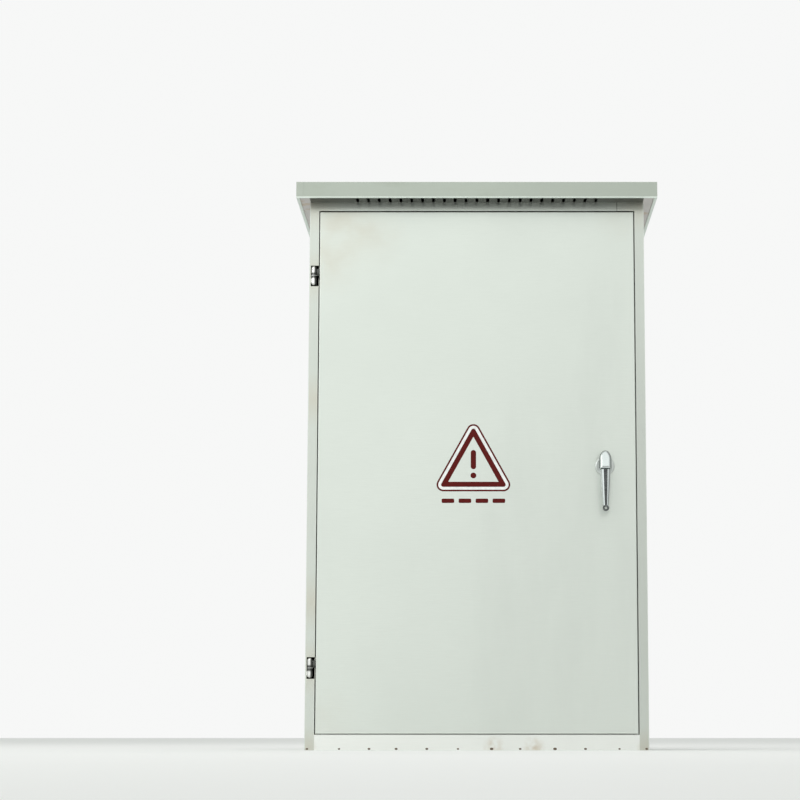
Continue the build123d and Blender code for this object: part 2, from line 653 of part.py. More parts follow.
for side, z, name in ((1, 1040.0, "rod_guide_upper"), (-1, 90.0, "rod_guide_lower")):
    middle = HANDLE_X + side * (RACK_ROOT + ROD_W / 2)
    with BuildPart() as rod_guide:
        block((middle - 9, middle + 9), (FRONT + SHEET, ROD_Y[1] + 4), (z, z + 20))
        play = 0.5
        slot_x = (middle - ROD_W / 2 - play, middle + ROD_W / 2 + play)
        slot_y = (ROD_Y[0] - play, ROD_Y[1] + play)
        block(slot_x, slot_y, (z, z + 20), mode=Mode.SUBTRACT)
        fillet(rod_guide.edges().filter_by(Axis.Z).group_by(Axis.Y)[-1], 2.0)
    save(rod_guide, name)


# ---------------------------------------------------------------- door sign


def sign_triangle(grow):
    """Triangle of the sign, grown by a margin that also rounds its corners."""
    kind = Kind.ARC if grow > 0 else Kind.INTERSECTION
    with BuildSketch() as triangle:
        with BuildLine():
            Polyline(
                (SIGN_X - SIGN_HALF, SIGN_BASE),
                (SIGN_X + SIGN_HALF, SIGN_BASE),
                (SIGN_X, SIGN_TOP),
                close=True,
            )
        make_face()
        offset(amount=grow, kind=kind, mode=Mode.REPLACE)
    return triangle.sketch


line_outer = sign_triangle(14.0)
line_inner = sign_triangle(10.5)
band_outer = sign_triangle(4.6)
band_inner = sign_triangle(-5.9)

with BuildPart() as sign_red:
    with BuildSketch(facing(FRONT)):
        add(line_outer)
        add(line_inner, mode=Mode.SUBTRACT)
        add(band_outer)
        add(band_inner, mode=Mode.SUBTRACT)
        with Locations((SIGN_X, 594)):
            SlotOverall(40, 11, rotation=90)
        with Locations((SIGN_X, 561)):
            Circle(6)
        with Locations((SIGN_X, 508.5)):
            with GridLocations(35, 0, 4, 1):
                RectangleRounded(26, 9, 2.5)
    extrude(amount=VINYL_T)
save(sign_red, "sign_red")

with BuildPart() as sign_white:
    with BuildSketch(facing(FRONT)):
        add(line_inner)
        add(band_outer, mode=Mode.SUBTRACT)
    extrude(amount=VINYL_T)
save(sign_white, "sign_white")


# ---------------------------------------------------------------- mounting plate
stud_spots = [(x, z) for x in (-STUD_X, STUD_X) for z in STUD_Z]

with BuildPart() as mounting_plate:
    block((-PLATE_X, PLATE_X), PLATE_Y, PLATE_Z)
    with Locations(*[(x, sum(PLATE_Y) / 2, z) for x, z in stud_spots]):
        Cylinder(4.5, PLATE_Y[1] - PLATE_Y[0], rotation=(90, 0, 0), mode=Mode.SUBTRACT)
    fillet(mounting_plate.edges().filter_by(Axis.Y), 6.0)
save(mounting_plate, "mounting_plate")

with BuildPart() as plate_studs:
    with BuildSketch(facing(BACK)):
        with Locations(*stud_spots):
            Circle(4)
    extrude(amount=BACK - 128)
save(plate_studs, "plate_studs")

with BuildPart() as plate_nuts:
    for y in (PLATE_Y[0], PLATE_Y[1] + 6.5):
        with BuildSketch(facing(y)):
            with Locations(*stud_spots):
                RegularPolygon(7.5, 6)
                Circle(4, mode=Mode.SUBTRACT)
        extrude(amount=6.5)
save(plate_nuts, "plate_nuts")


# ---------------------------------------------------------------- breakers


def breaker_case(name, x, half, z, front, poles):
    """Moulded case with a raised nose, a toggle window and terminal pockets."""
    nose_z = (z[0] + 0.24 * (z[1] - z[0]), z[1] - 0.24 * (z[1] - z[0]))
    middle_z = (z[0] + z[1]) / 2
    with BuildPart() as case:
        block((x - half, x + half), (front + 12, PLATE_Y[0]), z)
        block((x - half * 0.86, x + half * 0.86), (front, front + 12), nose_z)
        front_edges = case.edges().filter_by_position(Axis.Y, front - 1, front + 13)
        fillet(front_edges.filter_by(Axis.Z), 2.0)
        window = (x - half * 0.22, x + half * 0.22)
        well = (front, front + PIVOT_DEEP + half * HUB + 1)
        block(window, well, (middle_z - half * 0.45, middle_z + half * 0.45), mode=Mode.SUBTRACT)
        for end, into in ((z[0], 1), (z[1], -1)):
            for pole in range(3):
                pole_x = x + (pole - 1) * poles
                pocket = (pole_x - poles * 0.32, pole_x + poles * 0.32)
                depth = sorted((end + into * 9, end + into * 24))
                block(pocket, (front + 12, front + 24), depth, mode=Mode.SUBTRACT)
    save(case, name)


def breaker_toggle(name, x, half, z, front):
    """Toggle lever with a round hub on its pivot, tilted up in the on position."""
    middle_z = (z[0] + z[1]) / 2
    width = half * 0.36
    hub_r = half * HUB
    reach = PIVOT_DEEP + half * 0.42
    with BuildPart() as toggle:
        with Locations((x, front + PIVOT_DEEP, middle_z)):
            Cylinder(hub_r, width, rotation=(0, 90, 0))
        side_on = Plane((x - width / 2, front + PIVOT_DEEP, middle_z), x_dir=(0, -1, 0), z_dir=(1, 0, 0))
        with BuildSketch(side_on):
            with BuildLine():
                Polyline(
                    (0, -hub_r * 0.8),
                    (reach, -hub_r * 1.2),
                    (reach, -hub_r * 0.3),
                    (0, hub_r * 0.8),
                    close=True,
                )
            make_face()
        extrude(amount=width)
    save(toggle, name)


breaker_case("main_breaker_case", 0.0, MAIN_HALF, MAIN_Z, MAIN_FRONT, PHASE_PITCH)
breaker_toggle("main_breaker_toggle", 0.0, MAIN_HALF, MAIN_Z, MAIN_FRONT)
for index, x in enumerate(BRANCH_XS, start=1):
    breaker_case(f"branch_breaker_case_{index}", x, BRANCH_HALF, BRANCH_Z, BRANCH_FRONT, BRANCH_PITCH)
    breaker_toggle(f"branch_toggle_{index}", x, BRANCH_HALF, BRANCH_Z, BRANCH_FRONT)


# ---------------------------------------------------------------- busbars and terminal bars
for phase, (z, y) in enumerate(zip(BAR_Z, BAR_Y)):
    offset_main = (phase - 1) * PHASE_PITCH
    offset_branch = (phase - 1) * BRANCH_PITCH
    with BuildPart() as busbar:
        with BuildSketch(facing(y + BAR_T)):
            bar((-BAR_HALF, BAR_HALF), (z - BAR_W / 2, z + BAR_W / 2))
            bar((offset_main - 9, offset_main + 9), (z, MAIN_Z[0]))
            for x in BRANCH_XS:
                bar((x + offset_branch - 6, x + offset_branch + 6), (BRANCH_Z[1], z))
            with Locations((-BAR_HALF + 10, z), (BAR_HALF - 10, z)):
                Circle(4.0, mode=Mode.SUBTRACT)
        extrude(amount=BAR_T)
    save(busbar, f"busbar_{phase + 1}")

with BuildPart() as busbar_insulators:
    for z, y in zip(BAR_Z, BAR_Y):
        with BuildSketch(facing(PLATE_Y[0])):
            with Locations((-BAR_HALF + 10, z), (BAR_HALF - 10, z)):
                RegularPolygon(10.5, 6)
        extrude(amount=PLATE_Y[0] - y - BAR_T)
save(busbar_insulators, "busbar_insulators")


def terminal_bar(name, x, z):
    """Square brass bar with a row of cross holes, on two feet."""
    with BuildPart() as terminals:
        block(x, (118, 130), (z - 7, z + 7))
        for foot in (x[0] + 12, x[1] - 12):
            block((foot - 6, foot + 6), (130, PLATE_Y[0]), (z - 6, z + 6))
        count = int((x[1] - x[0] - 40) / 16)
        with Locations(((x[0] + x[1]) / 2, 124, z)):
            with GridLocations(16, 0, count, 1):
                Cylinder(3.2, 14)
                Cylinder(3.0, 20, mode=Mode.SUBTRACT)
    save(terminals, name)


terminal_bar("neutral_bar", (-200.0, -20.0), 240.0)
terminal_bar("earth_bar", (20.0, 200.0), 240.0)

for side, name in ((-1, "wiring_duct_left"), (1, "wiring_duct_right")):
    x = side * 235.0
    with BuildPart() as wiring_duct:
        block((x - DUCT_HALF, x + DUCT_HALF), (92, PLATE_Y[0]), DUCT_Z)
        block((x - DUCT_HALF + 2, x + DUCT_HALF - 2), (94, PLATE_Y[0] - 2), DUCT_Z, mode=Mode.SUBTRACT)
        middle_z = sum(DUCT_Z) / 2
        with Locations(*[(x, 110, middle_z + (row - 20.5) * 20) for row in range(42)]):
            Box(2 * DUCT_HALF + 2, 30, 8, mode=Mode.SUBTRACT)
    save(wiring_duct, name)
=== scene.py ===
import math
import random

import bmesh
import bpy
from mathutils import Matrix, Vector


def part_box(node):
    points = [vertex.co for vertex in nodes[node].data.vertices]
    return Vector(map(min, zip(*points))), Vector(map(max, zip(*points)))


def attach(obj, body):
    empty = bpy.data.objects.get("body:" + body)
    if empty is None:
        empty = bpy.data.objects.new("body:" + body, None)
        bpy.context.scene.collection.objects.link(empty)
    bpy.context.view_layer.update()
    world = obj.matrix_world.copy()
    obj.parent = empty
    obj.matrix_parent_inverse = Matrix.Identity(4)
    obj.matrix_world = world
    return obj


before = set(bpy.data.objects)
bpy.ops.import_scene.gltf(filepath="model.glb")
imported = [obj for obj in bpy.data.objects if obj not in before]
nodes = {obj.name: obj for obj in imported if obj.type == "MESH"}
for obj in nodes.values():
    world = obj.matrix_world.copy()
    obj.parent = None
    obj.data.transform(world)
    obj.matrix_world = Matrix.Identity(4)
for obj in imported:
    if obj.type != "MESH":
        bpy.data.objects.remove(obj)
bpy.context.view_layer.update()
random.seed(7)

# ---------------------------------------------------------------- places, from the frame
DOOR_LOW, DOOR_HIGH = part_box("door_panel")
STILE_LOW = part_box("frame_stile_left")[0]
STILE_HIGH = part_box("frame_stile_right")[1]
FRONT_Y = STILE_LOW.y
MM = 0.001


# ---------------------------------------------------------------- node helpers
def set_range(node, from_low, from_high, low, high):
    """Fills in the four limits of a Map Range node."""
    limits = {"From Min": from_low, "From Max": from_high, "To Min": low, "To Max": high}
    for socket, number in limits.items():
        node.inputs[socket].default_value = number


class Shader:
    """Builds one procedural material, in object space, around a Principled shader."""

    def __init__(self, name, base, metallic=0.0, roughness=0.5, **sockets):
        self.material = bpy.data.materials.new(name)
        self.material.use_nodes = True
        self.tree = self.material.node_tree
        self.principled = self.tree.nodes["Principled BSDF"]
        self.place = self.tree.nodes.new("ShaderNodeTexCoord").outputs["Object"]
        self.set("Base Color", (*base, 1.0))
        self.set("Metallic", metallic)
        self.set("Roughness", roughness)
        for socket, value in sockets.items():
            self.set(socket.replace("_", " "), value)
        self.colour = None
        self.base = base

    def set(self, socket, value):
        self.principled.inputs[socket].default_value = value

    def link(self, source, target):
        self.tree.links.new(source, target)

    def math(self, operation, a, b=0.0, clamp=False):
        node = self.tree.nodes.new("ShaderNodeMath")
        node.operation = operation
        node.use_clamp = clamp
        for socket, value in zip(node.inputs, (a, b)):
            if isinstance(value, (int, float)):
                socket.default_value = value
            else:
                self.link(value, socket)
        return node.outputs[0]

    def mapping(self, scale=(1, 1, 1), shift=(0, 0, 0)):
        node = self.tree.nodes.new("ShaderNodeMapping")
        node.inputs["Scale"].default_value = scale
        node.inputs["Location"].default_value = shift
        self.link(self.place, node.inputs["Vector"])
        return node.outputs[0]

    def noise(self, scale, stretch=(1, 1, 1), detail=3.0, roughness=0.5):
        node = self.tree.nodes.new("ShaderNodeTexNoise")
        node.inputs["Scale"].default_value = scale
        node.inputs["Detail"].default_value = detail
        node.inputs["Roughness"].default_value = roughness
        self.link(self.mapping(stretch), node.inputs["Vector"])
        return node.outputs["Fac"]

    def span(self, value, low, high, from_low=0.0, from_high=1.0):
        node = self.tree.nodes.new("ShaderNodeMapRange")
        self.link(value, node.inputs["Value"])
        set_range(node, from_low, from_high, low, high)
        return node.outputs[0]

    def axis(self, index):
        node = self.tree.nodes.new("ShaderNodeSeparateXYZ")
        self.link(self.place, node.inputs[0])
        return node.outputs[index]

    def near(self, point, reach, squeeze=(1, 1, 1)):
        """1 at a point of the object's space, fading to 0 at reach."""
        shift = tuple(-p * s for p, s in zip(point, squeeze))
        length = self.tree.nodes.new("ShaderNodeVectorMath")
        length.operation = "LENGTH"
        self.link(self.mapping(squeeze, shift), length.inputs[0])
        return self.span(length.outputs["Value"], 1.0, 0.0, 0.0, reach)

    def tint(self, colour, amount):
        """Mixes colour over what the base colour is so far, by amount."""
        node = self.tree.nodes.new("ShaderNodeMix")
        node.data_type = "RGBA"
        if isinstance(amount, (int, float)):
            node.inputs["Factor"].default_value = amount
        else:
            self.link(amount, node.inputs["Factor"])
        if self.colour is None:
            node.inputs["A"].default_value = (*self.base, 1.0)
        else:
            self.link(self.colour, node.inputs["A"])
        node.inputs["B"].default_value = (*colour, 1.0)
        self.colour = node.outputs["Result"]
        self.link(self.colour, self.principled.inputs["Base Color"])

    def rough(self, value):
        self.link(value, self.principled.inputs["Roughness"])

    def bump(self, height, strength, distance):
        node = self.tree.nodes.new("ShaderNodeBump")
        node.inputs["Strength"].default_value = strength
        node.inputs["Distance"].default_value = distance
        self.link(height, node.inputs["Height"])
        previous = self.principled.inputs["Normal"].links
        if previous:
            self.link(previous[0].from_socket, node.inputs["Normal"])
        self.link(node.outputs[0], self.principled.inputs["Normal"])


def darker(colour, factor):
    return tuple(c * factor for c in colour)


# ---------------------------------------------------------------- materials
STEEL = (0.66, 0.695, 0.65)
HEAT = (0.50, 0.40, 0.28)
# near black, used as painted shade round the hinge knuckles
HINGE_SHADE = (0.05, 0.052, 0.048)
SEAM_X = 0.294              # butt seam in the top rail
STILE_STAINS_Z = (0.166, 0.981, 0.30, 0.72)
RAIL_STAINS_X = (0.035, 0.115)


def sheet_steel(name, base=STEEL, roughness=0.34, grain=(2.0, 2.0, 150.0)):
    """Satin stainless sheet: fine brushing, cloudy gloss, slight oil-canning."""
    s = Shader(name, base, metallic=1.0, roughness=roughness)
    brushing = s.noise(14.0, grain, detail=4.0, roughness=0.65)
    cloud = s.noise(2.3, (1, 1, 1), detail=3.0)
    smears = s.noise(3.2, (1, 1, 0.25), detail=5.0, roughness=0.62)
    s.tint(darker(base, 0.88), s.span(cloud, 0.0, 0.7, 0.35, 0.75))
    s.tint(darker(base, 0.90), s.span(brushing, 0.0, 0.6, 0.35, 0.7))
    s.tint(darker(base, 0.80), s.span(smears, 0.0, 0.35, 0.56, 0.74))
    gloss = s.math("ADD", s.span(cloud, -0.07, 0.07), s.span(brushing, roughness - 0.05, roughness + 0.06))
    s.rough(gloss)
    s.bump(s.noise(1.4, (1, 1, 1), detail=1.0), 0.25, 0.004)
    s.bump(brushing, 0.05, 0.0004)
    return s


def door_steel():
    """Door skin: as the sheet steel, with faint heat tints by the welded corners."""
    s = sheet_steel("door_steel", base=(0.70, 0.735, 0.69), roughness=0.36)
    low, high = DOOR_LOW, DOOR_HIGH
    mottle = s.span(s.noise(22.0, (1, 1, 1), detail=2.0), 0.3, 1.0, 0.3, 0.7)
    stains = (
        (Vector((low.x + 0.03, low.y, high.z - 0.02)), 0.11, 0.34),
        (Vector((low.x + 0.11, low.y, high.z - 0.055)), 0.08, 0.18),
        (Vector((low.x + 0.02, low.y, high.z - 0.12)), 0.07, 0.22),
        (Vector((high.x - 0.03, low.y, high.z - 0.01)), 0.06, 0.14),
        (Vector((low.x + 0.02, low.y, low.z + 0.03)), 0.07, 0.12),
    )
    for point, reach, amount in stains:
        spot = s.math("MULTIPLY", s.near(point, reach), mottle)
        s.tint(HEAT, s.math("MULTIPLY", spot, amount))
    return s


def frame_steel():
    """Folded frame sections: sheet steel with heat tints at hinges and corners."""
    s = sheet_steel("frame_steel", base=(0.62, 0.65, 0.605), roughness=0.30, grain=(150.0, 2.0, 2.0))
    for z in STILE_STAINS_Z:
        spot = s.near(Vector((STILE_LOW.x + 0.01, FRONT_Y, z)), 0.06)
        s.tint(HEAT, s.math("MULTIPLY", spot, 0.30))
    seam = s.math("ABSOLUTE", s.math("SUBTRACT", s.axis(0), SEAM_X))
    above = s.math("GREATER_THAN", s.axis(2), DOOR_HIGH.z + 2 * MM)
    s.tint((0.12, 0.12, 0.11), s.math("MULTIPLY", s.span(seam, 1.0, 0.0, 0.3 * MM, 0.9 * MM), above))
    for x in (STILE_LOW.x, STILE_HIGH.x):
        s.tint(HEAT, s.math("MULTIPLY", s.near(Vector((x, FRONT_Y, 0.0)), 0.05), 0.35))
        s.tint(HEAT, s.math("MULTIPLY", s.near(Vector((x, FRONT_Y, STILE_HIGH.z)), 0.07), 0.30))
    return s


def bottom_rail_painted_paler():
    """Bottom rail: a paler copy of the frame steel, painted light standing in for the brighter light on it,
    with brown heat marks by its tack welds.
    """
    # painted light: the pale base is the frame's steel made brighter to stand in for the light on the rail
    s = sheet_steel("bottom_rail_painted_paler", base=(0.84, 0.85, 0.82), roughness=0.38)
    mottle = s.span(s.noise(60.0, detail=2.0), 0.0, 1.0, 0.35, 0.65)
    for x in (STILE_LOW.x, *RAIL_STAINS_X, STILE_HIGH.x):
        spot = s.math("MULTIPLY", s.near(Vector((x, FRONT_Y, 0.004)), 0.026), mottle)
        s.tint(HEAT, s.math("MULTIPLY", spot, 0.7))
    return s


def roof_steel():
    """Roof skin: a duller, greener sheet with faint smudges."""
    s = sheet_steel("roof_steel", base=(0.43, 0.465, 0.415), roughness=0.34)
    smudges = s.span(s.noise(5.0, (1, 1, 3), detail=5.0, roughness=0.6), 0.0, 0.5, 0.55, 0.75)
    s.tint((0.34, 0.37, 0.31), smudges)
    return s


def soffit_steel():
    """Underside of the roof: dull, with painted shade making it dark over the vents, pale at the ends, and a
    painted highlight along its hem.
    """
    s = sheet_steel("soffit_steel", base=(0.60, 0.57, 0.555), roughness=0.42)
    along = s.math("ABSOLUTE", s.axis(0))
    shaded_middle = s.math("LESS_THAN", along, STILE_HIGH.x)
    # painted shade: the middle of the underside, over the vents, is made near black
    s.tint((0.085, 0.09, 0.078), shaded_middle)
    spots = s.span(s.noise(38.0, detail=2.0), 0.0, 0.7, 0.56, 0.70)
    s.tint(HEAT, s.math("MULTIPLY", spots, s.math("SUBTRACT", 1.0, shaded_middle)))
    # painted highlight: a pale mint band along the hem of the underside
    hem_highlight = s.math("LESS_THAN", s.axis(2), STILE_HIGH.z - 0.0001)
    s.tint((0.74, 0.80, 0.75), hem_highlight)
    return s


def zinc():
    """Zinc-plated inner sheet with a soft spangle."""
    s = Shader("zinc", (0.55, 0.58, 0.60), metallic=1.0, roughness=0.42)
    cells = s.tree.nodes.new("ShaderNodeTexVoronoi")
    cells.inputs["Scale"].default_value = 65.0
    s.link(s.mapping(), cells.inputs["Vector"])
    s.tint((0.44, 0.47, 0.50), s.span(cells.outputs["Distance"], 0.0, 0.7))
    s.rough(s.span(s.noise(30.0), 0.34, 0.52))
    s.bump(s.noise(400.0), 0.08, 0.0003)
    return s


def worn_metal(name, base, roughness, spot=0.75):
    """Machined or plated small parts with fine scratches and a dulled tone."""
    s = Shader(name, base, metallic=1.0, roughness=roughness)
    scratch = s.noise(90.0, (1, 1, 8), detail=4.0)
    s.tint(darker(base, spot), s.span(s.noise(60.0), 0.0, 0.8, 0.35, 0.7))
    s.rough(s.span(scratch, roughness * 0.75, roughness * 1.35))
    s.bump(scratch, 0.06, 0.0003)
    return s


def hinge_steel():
    """Hinge metal: a polished knuckle, with painted shade beside its washer and on the leaf behind it."""
    s = worn_metal("hinge_steel", (0.80, 0.80, 0.78), 0.22)
    pins_low, pins_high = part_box("hinge_pins")
    past = s.math("SUBTRACT", s.axis(0), (pins_low.x + pins_high.x) / 2 + 0.6 * MM)
    # painted shade: near black right of the knuckle, over the leaf behind it
    s.tint(HINGE_SHADE, s.span(past, 0.0, 0.92, 0.0, 1.6 * MM))
    washers_low, washers_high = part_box("hinge_washers")
    for z in (washers_low.z, washers_high.z):
        away = s.math("ABSOLUTE", s.math("SUBTRACT", s.axis(2), z))
        # painted shade: near black on the knuckle next to each washer
        s.tint(HINGE_SHADE, s.span(away, 0.92, 0.0, 4.5 * MM, 7.5 * MM))
    return s


def chrome():
    s = Shader("chrome", (0.60, 0.635, 0.635), metallic=1.0, roughness=0.09)
    s.tint((0.49, 0.525, 0.53), s.span(s.noise(35.0), 0.0, 0.6, 0.4, 0.7))
    s.rough(s.span(s.noise(120.0, detail=4.0), 0.05, 0.15))
    s.bump(s.noise(55.0, detail=1.0), 0.04, 0.0006)
    return s


def moulded(name, base, roughness=0.5, grain=0.05, spread=0.86, **sockets):
    """Moulded plastic: fine texture and a slight tone change."""
    s = Shader(name, base, roughness=roughness, **sockets)
    s.tint(darker(base, spread), s.span(s.noise(18.0, detail=4.0), 0.0, 1.0, 0.3, 0.7))
    fine = s.noise(900.0, detail=2.0)
    s.rough(s.span(fine, roughness - 0.06, roughness + 0.08))
    s.bump(fine, grain * 4, 0.0002)
    return s


def vinyl(name, base):
    """Printed vinyl: slight mottling of a nearly matt ink."""
    s = Shader(name, base, roughness=0.38, Specular_IOR_Level=0.12)
    s.tint(darker(base, 0.72), s.span(s.noise(120.0, detail=4.0), 0.0, 0.75, 0.35, 0.75))
    s.rough(s.span(s.noise(60.0), 0.32, 0.46))
    s.bump(s.noise(300.0), 0.06, 0.0002)
    return s


MAKERS = {
    "sheet": lambda: sheet_steel("sheet_steel"),
    "door": door_steel,
    "frame": frame_steel,
    "bottom_rail": bottom_rail_painted_paler,
    "roof": roof_steel,
    "soffit": soffit_steel,
    "zinc": zinc,
    "hinge": hinge_steel,
    "bright": lambda: worn_metal("bright_steel", (0.72, 0.73, 0.72), 0.24),
    "chrome": chrome,
    "satin": lambda: worn_metal("satin", (0.66, 0.69, 0.67), 0.30),
    "brass": lambda: worn_metal("brass", (0.80, 0.60, 0.27), 0.27),
    "copper": lambda: worn_metal("copper", (0.86, 0.44, 0.28), 0.25, spot=0.6),
    "weld": lambda: worn_metal("weld", (0.16, 0.125, 0.095), 0.45),
    "rubber": lambda: moulded("rubber", (0.025, 0.025, 0.025), 0.78, grain=0.12),
    "red_ink": lambda: vinyl("red_ink", (0.105, 0.006, 0.005)),
    "white_ink": lambda: vinyl("white_ink", (0.86, 0.87, 0.86)),
    "nylon": lambda: moulded("nylon", (0.035, 0.036, 0.04), 0.45),
    "resin": lambda: moulded("resin", (0.15, 0.155, 0.16), 0.52),
    "toggle": lambda: moulded("toggle", (0.015, 0.015, 0.016), 0.30),
    "polyester": lambda: moulded("polyester", (0.36, 0.025, 0.015), 0.42),
    "duct": lambda: moulded("duct", (0.36, 0.38, 0.40), 0.55),
}
materials = {key: make().material for key, make in MAKERS.items()}

LOOK = {
    "sheet": ("side_panel_", "back_panel"),
    "door": ("door_panel",),
    "frame": ("frame_",),
    "bottom_rail": ("frame_rail_bottom",),
    "roof": ("roof_",),
    "soffit": ("roof_soffit",),
    "zinc": ("floor_", "base_", "gland_plate", "mounting_", "door_stiffener", "latch_", "rod_guide"),
    "hinge": ("hinge_frame", "hinge_door", "hinge_pins"),
    "bright": ("hinge_washers", "plate_", "gland_plate_screws", "handle_spindle"),
    "chrome": ("handle_lever", "key_cover"),
    "satin": ("handle_rosette",),
    "brass": ("key_barrel", "neutral_bar", "earth_bar"),
    "copper": ("busbar_1", "busbar_2", "busbar_3"),
    "rubber": ("door_gasket",),
    "red_ink": ("sign_red",),
    "white_ink": ("sign_white",),
    "nylon": ("gland_bodies", "gland_cap_nuts", "gland_locknuts"),
    "resin": ("main_breaker_case", "branch_breaker_case"),
    "toggle": ("main_breaker_toggle", "branch_toggle"),
    "polyester": ("busbar_insulators",),
    "duct": ("wiring_duct",),
}


def dress_nodes():
    """Gives each CAD node the material of the longest name start that fits it."""
    for name, node in nodes.items():
        choices = [(start, key) for key, starts in LOOK.items() for start in starts]
        fits = [(len(start), key) for start, key in choices if name.startswith(start)]
        node.data.materials.clear()
        node.data.materials.append(materials[max(fits)[1]])


dress_nodes()


# ---------------------------------------------------------------- pieces
def piece(name, mesh_maker, look, body):
    """New mesh piece from a bmesh, with a material, riding on a body."""
    bm = bmesh.new()
    mesh_maker(bm)
    mesh = bpy.data.meshes.new(name)
    bm.to_mesh(mesh)
    bm.free()
    made = bpy.data.objects.new(name, mesh)
    bpy.context.scene.collection.objects.link(made)
    mesh.materials.append(materials[look])
    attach(made, body)
    return made


WELD_COUNT = 12
WELD_INSET = 0.004          # from the frame's corners to the outermost welds
WELD_STRAY = 0.008
WELD_Z = 0.0028
WELD_THICK = 0.0007


def weld_dots(bm):
    """Row of small tack welds along the bottom front edge of the frame."""
    width = STILE_HIGH.x - STILE_LOW.x - 2 * WELD_INSET
    for index in range(WELD_COUNT):
        x = STILE_LOW.x + WELD_INSET + width * index / (WELD_COUNT - 1)
        x += random.uniform(-WELD_STRAY, WELD_STRAY) * (0 < index < WELD_COUNT - 1)
        size = random.uniform(0.0016, 0.0026)
        flattened = Matrix.Diagonal((size * 1.5, WELD_THICK, size, 1))
        shape = Matrix.Translation((x, FRONT_Y, WELD_Z)) @ flattened
        bmesh.ops.create_uvsphere(bm, u_segments=16, v_segments=10, radius=1.0, matrix=shape)


piece("weld_dots", weld_dots, "weld", "cabinet")


def loft(bm, place, rings, steps=24):
    """Closed skin through rings of (radius, height, corners); a ring without corners is round."""
    loops = []
    for radius, height, corners in rings:
        loop = []
        for step in range(steps):
            angle = 2 * math.pi * step / steps
            reach = radius
            if corners:
                half = math.pi / corners
                reach = radius * math.cos(half) / math.cos(angle % (2 * half) - half)
            corner = Vector((reach * math.cos(angle), reach * math.sin(angle), height))
            loop.append(bm.verts.new(place @ corner))
        loops.append(loop)
    for one, two in zip(loops, loops[1:]):
        for step in range(steps):
            after = (step + 1) % steps
            bm.faces.new((one[step], one[after], two[after], two[step]))
    bm.faces.new(loops[0][::-1])
    bm.faces.new(loops[-1])
    bmesh.ops.recalc_face_normals(bm, faces=bm.faces)


def outward(point, direction, turn=0.0):
    """Frame at a point with its Z axis along a direction."""
    turned = Matrix.Rotation(turn, 4, "Z")
    return Matrix.Translation(point) @ Vector(direction).to_track_quat("Z", "Y").to_matrix().to_4x4() @ turned


def pan_screws(spots, direction, radius):
    """Maker of pan-head screws with a hexagon recess, each turned at random."""
    def maker(bm):
        for spot in spots:
            loft(bm, outward(spot, direction, random.uniform(0, math.pi)), (
                (radius, 0.0, 0),
                (radius, 0.25 * radius, 0),
                (0.86 * radius, 0.46 * radius, 0),
                (0.56 * radius, 0.54 * radius, 0),
                (0.50 * radius, 0.54 * radius, 6),
                (0.46 * radius, 0.18 * radius, 6),
            ))
    return maker


def hex_bolts(spots, direction, radius):
    """Maker of hexagon bolt heads on washers, each turned at random."""
    def maker(bm):
        for spot in spots:
            loft(bm, outward(spot, direction, random.uniform(0, math.pi)), (
                (1.55 * radius, 0.0, 0),
                (1.55 * radius, 0.16 * radius, 0),
                (1.45 * radius, 0.22 * radius, 0),
                (radius, 0.24 * radius, 6),
                (radius, 0.80 * radius, 6),
                (0.86 * radius, 0.92 * radius, 6),
                (0.70 * radius, 0.94 * radius, 0),
            ))
    return maker


INTO_ROOM = (0, -1, 0)
INTO_CABINET = (0, 1, 0)

BREAKER_CASES = ("main_breaker_case", "branch_breaker_case")
breaker_boxes = [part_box(name) for name in sorted(nodes) if name.startswith(BREAKER_CASES)]
MAIN_PITCH = 40 * MM
BRANCH_PITCH = 24 * MM
MAIN_WIDTH = 100 * MM       # a case wider than this is the main breaker's
TERMINAL_INSET = 16.5 * MM
POCKET_DEEP = 24 * MM
BAR_HOLES = 8
BAR_PITCH = 16 * MM


def terminal_spots():
    """Clamping screws, on the floors of the breakers' terminal pockets."""
    for low, high in breaker_boxes:
        pitch = MAIN_PITCH if high.x - low.x > MAIN_WIDTH else BRANCH_PITCH
        for pole in (-1, 0, 1):
            for z in (low.z + TERMINAL_INSET, high.z - TERMINAL_INSET):
                yield Vector(((low.x + high.x) / 2 + pole * pitch, low.y + POCKET_DEEP, z))


def cover_spots():
    """Cover screws, at the corners of the breakers' raised noses."""
    for low, high in breaker_boxes:
        width, height = high.x - low.x, high.z - low.z
        for x in (low.x + 0.16 * width, high.x - 0.16 * width):
            for z in (low.z + 0.31 * height, high.z - 0.31 * height):
                yield Vector((x, low.y, z))


def busbar_spots():
    """Bolts through the ends of the busbars into their insulators."""
    for name in ("busbar_1", "busbar_2", "busbar_3"):
        low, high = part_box(name)
        matrix = nodes[name].matrix_world
        corners = [matrix @ vertex.co for vertex in nodes[name].data.vertices]
        ends = [corner.z for corner in corners if corner.x > high.x - MM]
        for x in (low.x + 10 * MM, high.x - 10 * MM):
            yield Vector((x, low.y, (min(ends) + max(ends)) / 2))


def bar_spots():
    """Clamping screws along the neutral and earth bars, one over each conductor hole."""
    for name in ("neutral_bar", "earth_bar"):
        low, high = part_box(name)
        for index in range(BAR_HOLES):
            x = (low.x + high.x) / 2 + (index - (BAR_HOLES - 1) / 2) * BAR_PITCH
            yield Vector((x, low.y, (low.z + high.z) / 2))


def latch_spots():
    """Screws in the feet of the latch case."""
    low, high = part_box("latch_case")
    for x in (low.x + 7 * MM, high.x - 7 * MM):
        for z in (low.z + 12 * MM, high.z - 12 * MM):
            yield Vector((x, low.y + 2 * MM, z))


